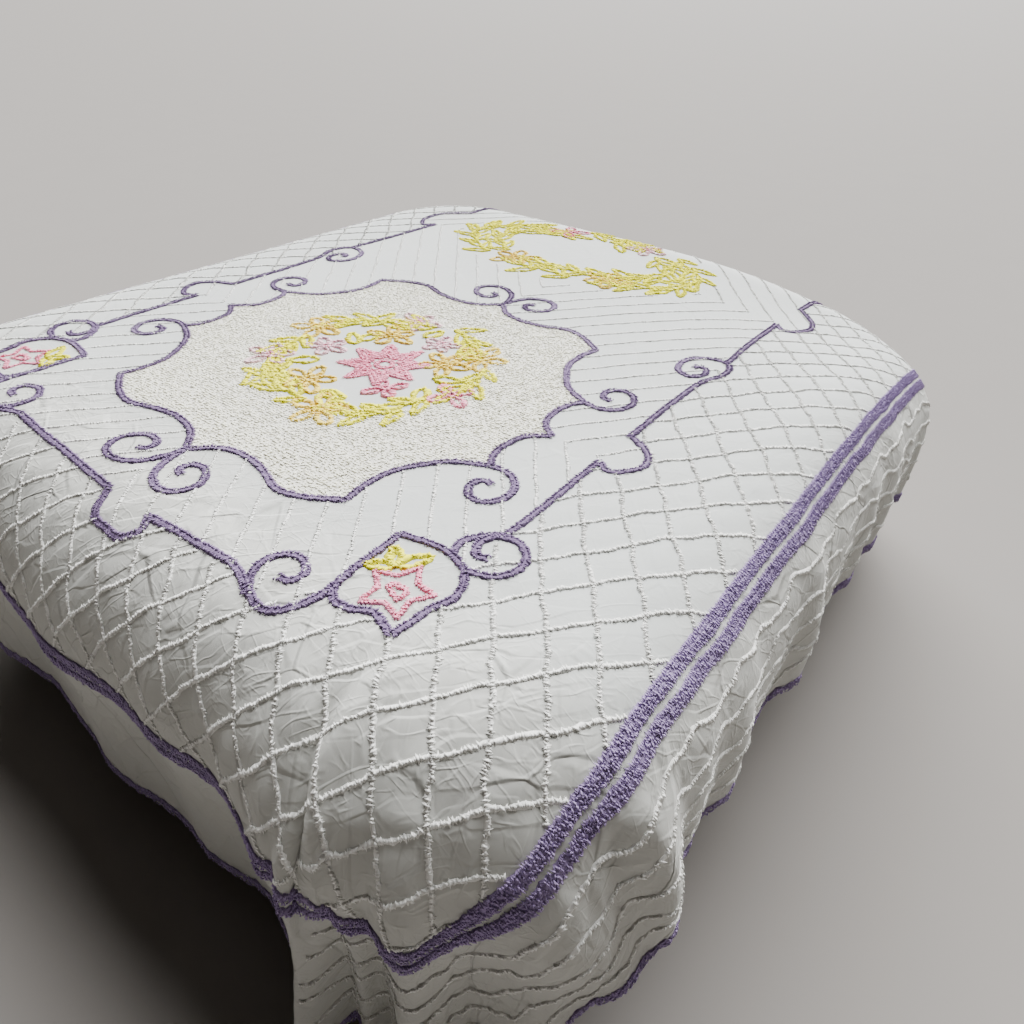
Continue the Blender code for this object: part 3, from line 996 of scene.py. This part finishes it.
def sideRun(sign):
    v = frameSet["side"]
    return onSide([
        straights([(-4.6, v), (-3.0, v + 0.04), (-0.25, v)]),
        curveThrough([(u, v + out) for u, out in bumpInLine(-0.25, 1.5)]),
        straights([(1.5, v), (4.0, v - 0.06), (6.1, v - 0.02)]),
        curveThrough([(6.1, v - 0.02), (6.7, v + 0.12), (7.3, v + 0.34), (8.1, v + 0.28), (8.5, v - 0.15),
                      (8.25, v - 0.85), (7.55, v - 1.25), (6.8, v - 1.15), (6.45, v - 0.65), (6.8, v - 0.22),
                      (7.35, v - 0.28), (7.5, v - 0.62), (7.2, v - 0.72)]),
        straights([(8.45, v), (11.0, v - 0.15), (14.3, v - 0.3)]),
        curveThrough([(u, v - 0.3 + out) for u, out in bumpInLine(14.3, 17.2)]),
        straights([(17.2, v - 0.3), (20.5, v - 0.2)]),
    ], sign)


def sideOutline(sign):
    v = frameSet["side"]
    points = [(-6.3, v), (-4.6, v), (-0.25, v)] + [(u, v + out) for u, out in bumpInLine(-0.25, 1.5)]
    points += [(6.1, v), (8.45, v), (14.3, v - 0.3)]
    points += [(u, v - 0.3 + out) for u, out in bumpInLine(14.3, 17.2)] + [(20.5, v - 0.2)]
    return mirrored(points, 1, sign)


def cartouche(sign):
    # the frame of the corner motif: four arched sides that meet in points
    return onSide([curveThrough(side) for side in (
        [(-6.20, 7.62), (-6.95, 7.70), (-7.75, 7.72), (-8.50, 7.80)],
        [(-8.50, 7.80), (-8.78, 8.14), (-8.76, 8.62), (-8.50, 9.08), (-8.60, 9.52), (-8.74, 9.92)],
        [(-8.74, 9.92), (-8.20, 9.98), (-7.65, 10.02), (-7.10, 10.20), (-6.62, 10.08), (-6.20, 9.78)],
        [(-6.20, 9.78), (-5.98, 9.15), (-6.00, 8.45), (-6.20, 7.62)],
    )], sign)


def cornerScrolls(sign):
    # the scroll and the join to the frame on the near side, then both on the foot side
    foot = frameSet["foot"]
    return onSide([curveThrough(line) for line in (
        [(-6.20, 9.78), (-6.0, 10.4), (-5.5, 10.75), (-4.95, 10.65), (-4.62, 10.15), (-4.75, 9.60),
         (-5.2, 9.38), (-5.62, 9.6), (-5.55, 9.95)],
        [(-4.6, 9.7), (-5.0, 9.25), (-5.5, 9.0), (-5.95, 9.15)],
        [(-8.50, 7.80), (-9.05, 7.78), (-9.55, 7.55), (-9.9, 7.05), (-9.75, 6.35), (-9.25, 5.9),
         (-8.65, 5.95), (-8.35, 6.45), (-8.6, 6.95), (-9.0, 6.9), (-9.1, 6.55)],
        [(foot + 0.1, 5.3), (foot - 0.05, 5.9), (-9.82, 6.35)],
    )], sign)


def endRuns():
    # the frame across the foot, and round the head
    foot = frameSet["foot"]
    head = frameSet["head"]
    side = frameSet["side"]
    turnIn = curveThrough([(20.5, side - 0.2), (21.4, 9.3), (21.9, 8.4), (head, 7.0), (head, 0.0)])
    return [
        straights([(foot + 0.1, 5.3), (foot, 3.8), (foot - 0.15, 2.0)]),
        curveThrough([(foot - 0.15 - out * 0.9, v) for v, out in bumpInLine(2.0, 0.1, 0.95)]),
        straights([(foot - 0.15, 0.1), (foot, -3.8), (foot + 0.1, -5.3)]),
        turnIn, mirrored(turnIn, 1, -1),
    ]


frameOutline = np.concatenate([
    sideOutline(1), [(21.4, 9.3), (22.0, 8.0), (22.0, -8.0), (21.4, -9.3)], sideOutline(-1)[::-1],
    [(-8.4, -9.6), (-8.3, -7.7), (-9.6, -7.4), (-9.65, -5.0), (-9.65, 0.1), (-10.45, 0.6), (-10.45, 1.6),
     (-9.65, 2.0), (-9.65, 5.0), (-9.6, 7.4), (-8.3, 7.7), (-8.4, 9.6)],
])
cartoucheOutlines = [np.concatenate(cartouche(sign)) for sign in (1, -1)]


def inCartouche(line):
    return np.any([insideLine(line, outline) for outline in cartoucheOutlines], axis=0)


def scrollRows():
    rows = [mirrored(part, u, v) for u in (1, -1) for v in (1, -1) for part in quarter + quarterScrolls]
    rows += endRuns()
    for sign in (1, -1):
        rows += sideRun(sign) + cartouche(sign) + cornerScrolls(sign)
    return [wander(onCloth(row), 0.0008) for row in rows]


spread = makeSpread(medallion)
sew("scrollTufting", scrollRows(), scrollLook, "plum")

# the double band that runs round the spread
bandPlaces = {
    "side": (0.920, 0.9495),  # inner edge of each of the two bands, across
    "foot": (-1.1655, -1.195),
    "head": (1.06, 1.0895),
    "corner": 0.15,
    "cornerGrowth": 0.03,     # of the outer band
    "width": 0.026,
    "rows": 5,
    "margin": 0.0044,         # from the edge of a band to its first row
    "hemInset": 0.0150,       # from the cut edge to the middle of the whipping over it
}


def ringPoint(middle, radius, angle):
    return middle[0] + radius * math.cos(angle), middle[1] + radius * math.sin(angle)


def roundedLoop(half, foot, head, corner, step=0.02):
    points = []
    for sideways, end, first in ((1, head, 0), (-1, head, 90), (-1, foot, 180), (1, foot, 270)):
        middle = (sideways * (half - corner), end - math.copysign(corner, end - (head + foot) / 2))
        points += [ringPoint(middle, corner, math.radians(d)) for d in np.linspace(first, first + 90, 16)]
    return evenly(points + points[:1], step)


def bandLoop(k, out):
    b = bandPlaces
    corner = b["corner"] + out + b["cornerGrowth"] * k
    return roundedLoop(b["side"][k] + out, b["foot"][k] - out, b["head"][k] + out, corner)


def bandRows(k):
    b = bandPlaces
    gap = (b["width"] - 2 * b["margin"]) / (b["rows"] - 1)
    return [wander(bandLoop(k, b["margin"] + i * gap), 0.0010) for i in range(b["rows"])]


def hemRows():
    s = spreadSet
    inset = bandPlaces["hemInset"]
    return [roundedLoop(s["halfWidth"] - inset, s["foot"] + inset, s["head"] - inset, s["corner"] - inset)]


sew("innerBand", bandRows(0), bandLook, "lavender")
sew("outerBand", bandRows(1), bandLook, "lavender")
bandBeds = [bandLoop(k, bandPlaces["width"] / 2) for k in (0, 1)]
sewn.append(sewRolls("bandRolls", bandBeds, bedLook, tufting["lavender"]))
sew("hemTufting", hemRows(), hemLook, "lavender")


# white lattice outside the frame, and nested chevrons inside it
def latticeRows():
    s = latticeSet
    b = bandPlaces
    t = np.arange(-45, 45, 0.08)
    rows = []
    for phase, sign in ((s["firstPhase"], 1), (s["secondPhase"], -1)):
        for index in range(-42, 43):
            level = (index + phase) * math.sqrt(2)
            line = pairs(t, sign * (level - t / s["ratio"]))
            line = line[np.abs(line[:, 1]) < 22]
            if len(line) < 4:
                continue
            flat = wander(onCloth(line), s["sway"])
            inBand = insideRounded(flat, b["side"][0], b["foot"][0], b["head"][0], b["corner"]) > -0.003
            rows += keepRuns(flat, inBand & ~insideLine(line, frameOutline) & ~inCartouche(line))
    return rows


def chevronRows():
    # rows that step out from the nest at the head, run to the waist of the design and out again to the foot
    s = latticeSet
    nest = s["chevronMiddle"]
    toHead = np.linspace(nest, 24, 240)
    toWaist = np.linspace(nest, 0, 300)
    toFoot = np.linspace(0, -11, 240)
    rows = []
    for index in range(24):
        level = s["chevronPhase"] + index * s["chevronStep"]
        waist = level - nest / s["ratio"]
        for part in (pairs(toHead, level - (toHead - nest) / s["ratio"]),
                     pairs(toWaist, level - (nest - toWaist) / s["ratio"]),
                     pairs(toFoot, waist - toFoot / s["ratio"])):
            part = part[part[:, 1] >= 0]
            if len(part) < 4:
                continue
            for line in (part, mirrored(part, 1, -1)):
                off = (line - wreathSet["headMiddle"]) / wreathSet["headHalf"]
                keep = insideLine(line, frameOutline) & ~insideLine(line * 0.985, medallion)
                keep &= ((off ** 2).sum(1) >= 1) & ~inCartouche(line)
                rows += keepRuns(wander(onCloth(line), s["sway"] * 0.6), keep)
    return rows


borderSet = {
    "places": [0.062, 0.116, 0.172, 0.226, 0.280],   # rows between the band and the hem
    "ripples": [(0.21, 0.0065), (0.123, 0.0045), (0.071, 0.0028)],   # length, height
}


def wavyRows():
    # rows that ripple along both sides and the head, and end where the foot begins
    b = bandPlaces
    s = spreadSet
    rows = []
    for out in borderSet["places"]:
        loop = roundedLoop(b["side"][1] + out, b["foot"][1] - out, b["head"][1] + out * 0.75,
                           b["corner"] + out, 0.006)
        run = runOf(loop)
        ripple = sum(height * np.sin(run / length * fullTurn + draws.uniform(*anyPhase)
                                     + 1.4 * np.sin(run / 0.83 + draws.uniform(*anyPhase)))
                     for length, height in borderSet["ripples"])
        loop = loop - leftOf(wayOf(loop)) * ripple[:, None]
        keep = insideRounded(loop, s["halfWidth"], s["foot"], s["head"], s["corner"]) > 0.020
        rows += keepRuns(loop, keep & ~((loop[:, 1] < -1.2) & (np.abs(loop[:, 0]) < 0.72)))
    return rows


sew("latticeTufting", latticeRows(), whiteLook, "white")
sew("chevronTufting", chevronRows(), chevronLook, "white")
sew("borderTufting", wavyRows(), borderLook, "white")


# the low cream pile that fills the medallion round the wreath
pileSet = {
    "step": 0.101,
    "reach": (7.4, 8),        # half the ground it is drawn on
    "sway": 0.02,
    "ragged": 0.12,           # of its inner edge
    "shrink": 1.012,          # keeps it off the outline of the medallion
}


def pileRows():
    s = pileSet
    reachU, reachV = s["reach"]
    rows = []
    for u in np.arange(-reachU, reachU, s["step"]):
        line = pairs(np.full(400, u), np.linspace(-reachV, reachV, 400))
        line[:, 0] += s["sway"] * np.sin(line[:, 1] * 1.7 + u)
        off = line - wreathSet["middle"]
        ragged = s["ragged"] * np.sin(5 * np.arctan2(off[:, 1], off[:, 0]))
        ragged = wreathSet["clear"] + ragged + draws.uniform(-0.1, 0.1)
        keep = insideLine(line * s["shrink"], medallion) & (np.hypot(off[:, 0], off[:, 1]) > ragged)
        rows += [onCloth(row) for row in keepRuns(line, keep)]
    return rows


sew("creamPile", pileRows(), pileLook, "cream")

# flowers, leaves and stars are outlines of tufting
flowerRows = {"yellow": [], "peach": [], "pink": [], "blush": []}
stars = []
cornerStars = []


def heading(turn):
    return np.array([math.cos(turn), math.sin(turn)])


def loopOf(base, turn, half):
    # a closed loop from one half of it, given as steps forward and sideways from its base
    steps = half + [(forward, -sideways) for forward, sideways in half[-2::-1]]
    way = heading(turn)
    side = np.array([-way[1], way[0]])
    base = np.asarray(base, float)
    return curveThrough([base + way * forward + side * sideways for forward, sideways in steps], step=0.05)


def leafLoop(base, turn, length, width=0.14):
    wide = width * length
    return loopOf(base, turn, [(0, 0), (0.30 * length, wide), (0.68 * length, 0.75 * wide), (length, 0)])


def petalFlower(middle, size, petals, turn):
    wide = 0.22 * size
    rows = []
    for i in range(petals):
        a = turn + fullTurn * i / petals + draws.uniform(-0.12, 0.12)
        reach = size * draws.uniform(0.88, 1.12)
        rows.append(loopOf(middle, a, [(0.14 * reach, 0), (0.55 * reach, wide), (0.92 * reach, 0.6 * wide),
                                       (reach, 0)]))
    return rows


def ringLine(middle, radius, count=16):
    turn = np.linspace(0, fullTurn, count)
    return pairs(middle[0] + radius * np.cos(turn), middle[1] + radius * np.sin(turn))


def starLine(middle, outer, inner, points, degrees):
    return evenly([ringPoint(middle, inner if i % 2 else outer, math.radians(degrees) + math.pi * i / points)
                   for i in range(2 * points + 1)], 0.05)


def spray(base, turn, bend, size):
    # a bent stem with a leaf to each side and one at its end
    leaves = flowerRows["yellow"]
    spot = np.asarray(base, float)
    stem = [spot]
    for side in (-1, 1):
        aside = side * draws.uniform(0.55, 0.80)
        leaves.append(leafLoop(spot, turn + aside, size * draws.uniform(0.82, 1.15)))
        spot = spot + 0.30 * size * heading(turn)
        turn += bend / 2
        stem.append(spot)
    leaves.append(leafLoop(spot, turn, size))
    leaves.append(straights(stem))


def blossom(middle, colour, size, turn):
    flowerRows[colour] += petalFlower(middle, size, 4 if colour == "pink" else 5, turn)
    flowerRows["pink" if colour == "blush" else colour].append(ringLine(middle, 0.13))


# in units of the design, measured from the middle of each wreath
garlandSet = {
    # degrees round the ring, colour, size
    "ringFlowers": [(47, "peach", 0.98), (93, "pink", 0.82), (163, "peach", 0.98), (236, "blush", 0.85),
                    (281, "peach", 0.98), (340, "blush", 0.85)],
    # degrees round the ring, the way round that the spray points
    "ringSprays": [(4, 1), (20, 1), (60, 1), (76, 1), (106, 1), (122, 1), (138, 1), (176, 1), (192, 1),
                   (208, 1), (224, -1), (256, -1), (268, -1), (306, -1), (322, -1), (312, 1), (352, -1)],
    "heart": (0.0, 0.35),     # middle of the star
    "star": [(1.62, 0.85), (1.22, 0.66), (0.82, 0.50)],   # outer and inner radius
    # place, colour, size, turn
    "innerFlowers": [((-1.25, 1.70), "pink", 0.72, 0.5), ((-2.45, -0.75), "peach", 0.92, 0.9),
                     ((1.35, 1.95), "peach", 0.95, 0.1), ((1.95, -1.15), "peach", 0.85, 0.5),
                     ((-0.30, -2.20), "blush", 0.78, 0.3), ((2.55, 0.75), "blush", 0.72, 1.0)],
    # place, turn, length
    "innerLeaves": [((-2.6, 0.35), 2.4, 1.1), ((-2.7, 0.2), 1.5, 1.0), ((0.3, 2.45), 1.1, 1.0),
                    ((0.5, -1.6), -0.9, 1.0), ((0.8, -1.7), 0.1, 1.0), ((2.1, 2.2), 0.4, 1.0),
                    ((-1.2, -1.6), 3.9, 1.1), ((-0.4, 2.7), 2.7, 1.0), ((2.6, -0.2), 0.2, 0.9)],
    "headFlowers": [(22, "blush", 0.95), (148, "peach", 1.1), (203, "peach", 1.1), (333, "pink", 1.0)],
    # share of the ring, first spray and step in degrees
    "headSprays": [(1.14, 8, 16), (0.86, 0, 20)],
    "headGap": 8,             # degrees kept free beside a flower
}


def middleWreath():
    s = garlandSet
    m = np.array(wreathSet["middle"])
    ring = wreathSet["ring"]
    for degrees, colour, size in s["ringFlowers"]:
        a = math.radians(degrees)
        blossom(m + ring * 1.03 * heading(a), colour, size, a + 0.4)
    for degrees, way in s["ringSprays"]:
        a = math.radians(degrees)
        start = m + ring * draws.uniform(0.93, 1.07) * heading(a)
        spray(start, a + way * math.pi / 2, way * 0.35, 1.18)
    heart = m + s["heart"]
    for outer, inner in s["star"]:
        stars.append(starLine(heart, outer, inner, 8, 10))
    stars.append(ringLine(heart, 0.30))
    for spot, colour, size, turn in s["innerFlowers"]:
        blossom(m + spot, colour, size, turn)
    for spot, turn, length in s["innerLeaves"]:
        flowerRows["yellow"].append(leafLoop(m + spot, turn, length, 0.22))


def headWreath():
    s = garlandSet
    m = np.array(wreathSet["headMiddle"])
    half = np.array(wreathSet["headRing"])
    for degrees, colour, size in s["headFlowers"]:
        a = math.radians(degrees)
        blossom(m + half * heading(a), colour, size, a)
    for ring, first, step in s["headSprays"]:
        for degrees in range(first, first + 354, step):
            if min(abs((degrees - spot + 180) % 360 - 180) for spot, _, _ in s["headFlowers"]) < s["headGap"]:
                continue
            a = math.radians(degrees)
            along = math.atan2(half[1] * math.cos(a), -half[0] * math.sin(a))
            spray(m + half * ring * heading(a), along + draws.uniform(-0.25, 0.25), 0.3, 1.3)


def cornerPictures():
    u, v = middle = (-7.66, 9.02)
    heart = [(u - 0.24, v + 0.21), (u + 0.02, v + 0.26), (u + 0.16, v + 0.09), (u + 0.06, v - 0.05),
             (u + 0.15, v - 0.21), (u - 0.06, v - 0.26), (u - 0.24, v + 0.21)]
    lines = [starLine(middle, 0.90, 0.47, 5, 135), straights(heart)]
    leaves = [leafLoop((-7.12, 8.42), math.radians(degrees), length, 0.20)
              for degrees, length in ((236, 0.76), (-48, 0.72), (28, 0.90))]
    for sign in (1, -1):
        cornerStars.extend(onSide(lines, sign))
        flowerRows["yellow"] += onSide(leaves, sign)


middleWreath()
headWreath()
cornerPictures()
for colour, rows in flowerRows.items():
    sew(colour + "Flowers", [onCloth(row) for row in rows], flowerLook, colour)
sew("pinkStars", [onCloth(row) for row in stars], starLook, "pink")
sew("cornerStars", [onCloth(row) for row in cornerStars], pictureLook, "pink")
print("flowers done")

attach(spread, "root")
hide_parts("bedspread")
for piece in sewn:
    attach(piece, "root")


# The bed under it keeps its CAD shape and gets finished surfaces
def makeTicking():
    material, tree, shader = newMaterial("mattressTicking", 0.85, 0.1)
    point = objectPoint(tree)
    weave = placeGroup(tree, weaveGroup, Cloth_Point=point, Threads=2200.0)
    stripe = calc(tree, "SINE", calc(tree, "MULTIPLY", splitPoint(tree, point)[0], 160.0))
    stripe = calc(tree, "MULTIPLY", mapRange(tree, stripe, 0.80, 0.92), 0.6)
    base = blendColour(tree, weave["Slub"], (0.70, 0.69, 0.65), (0.80, 0.79, 0.75))
    tree.links.new(blendColour(tree, stripe, base, (0.35, 0.42, 0.52)), shader.inputs["Base Color"])
    addBump(tree, shader, weave["Height"], 0.3, 0.0004)
    return material


def makeBaseCover():
    material, tree, shader = newMaterial("baseCover", 0.88, 0.15)
    point = objectPoint(tree)
    parts = splitPoint(tree, point)
    run = addNode(tree, "ShaderNodeCombineXYZ", i0=calc(tree, "ADD", parts[0], parts[1]), i1=parts[2])
    weave = placeGroup(tree, weaveGroup, Cloth_Point=run.outputs[0], Threads=1500.0)
    mottle = calc(tree, "MULTIPLY", noise(tree, point, 14.0, 4.0), 0.25)
    base = blendColour(tree, weave["Slub"], (0.34, 0.32, 0.29), (0.46, 0.44, 0.40))
    tree.links.new(blendColour(tree, mottle, base, (0.30, 0.28, 0.26)), shader.inputs["Base Color"])
    addBump(tree, shader, weave["Height"], 0.5, 0.0006)
    return material


for name, material in (("mattress", makeTicking()), ("bed_base", makeBaseCover())):
    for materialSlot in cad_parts[name].material_slots:
        materialSlot.material = material
print("bed finished")

# Floor, lights and camera
stageSet = {
    "floor": (0.275, 0.258, 0.242),
    "floorReach": 900.0,
    "cameraPlace": (1.1306, -1.2288, 1.3993),
    "cameraLook": (-0.4836, 0.6296, -0.6081),
    "cameraRight": (0.786, 0.618, 0.0148),
    "lens": 24.69,
    "sunFrom": (-0.30, 0.76, 0.58),
    "sunStrength": 15.3,
    "sunSoftness": 72,        # degrees
    "sky": (1.0, 0.90, 0.81),
    "skyStrength": 0.05,
}


def makeFloor():
    bm = bmesh.new()
    bmesh.ops.create_grid(bm, x_segments=2, y_segments=2, size=stageSet["floorReach"])
    material, tree, shader = newMaterial("paleFloor", 0.95, specular=0.1)
    tone = stageSet["floor"]
    base = blendColour(tree, noise(tree, objectPoint(tree), 3.0, 3.0), tone, tuple(c * 1.04 for c in tone))
    tree.links.new(base, shader.inputs["Base Color"])
    newPiece("floor", meshFrom(bm, "floor"), material)


def makeLights():
    s = stageSet
    data = bpy.data.lights.new("softSun", "SUN")
    data.energy = s["sunStrength"]
    data.angle = math.radians(s["sunSoftness"])
    linked("softSun", data).rotation_euler = (-Vector(s["sunFrom"])).to_track_quat("-Z", "Y").to_euler()
    world = bpy.data.worlds.new("softRoom")
    world.use_nodes = True
    back = world.node_tree.nodes["Background"]
    back.inputs[0].default_value = (*s["sky"], 1)
    back.inputs[1].default_value = s["skyStrength"]
    bpy.context.scene.world = world


def makeCamera():
    data = bpy.data.cameras.new("camera")
    data.sensor_width = 36
    data.lens = stageSet["lens"]
    data.clip_start = 0.05
    data.clip_end = 3000
    camera = linked("camera", data)
    look = Vector(stageSet["cameraLook"]).normalized()
    right = Vector(stageSet["cameraRight"])
    right = (right - look * right.dot(look)).normalized()
    turn = Matrix((right, right.cross(look), -look)).transposed()
    place = Vector(stageSet["cameraPlace"]) + Vector((bedMiddle.x, bedMiddle.y, 0))
    camera.matrix_world = Matrix.Translation(place) @ turn.to_4x4()
    bpy.context.scene.camera = camera


makeFloor()
makeLights()
makeCamera()
print("stage ready")
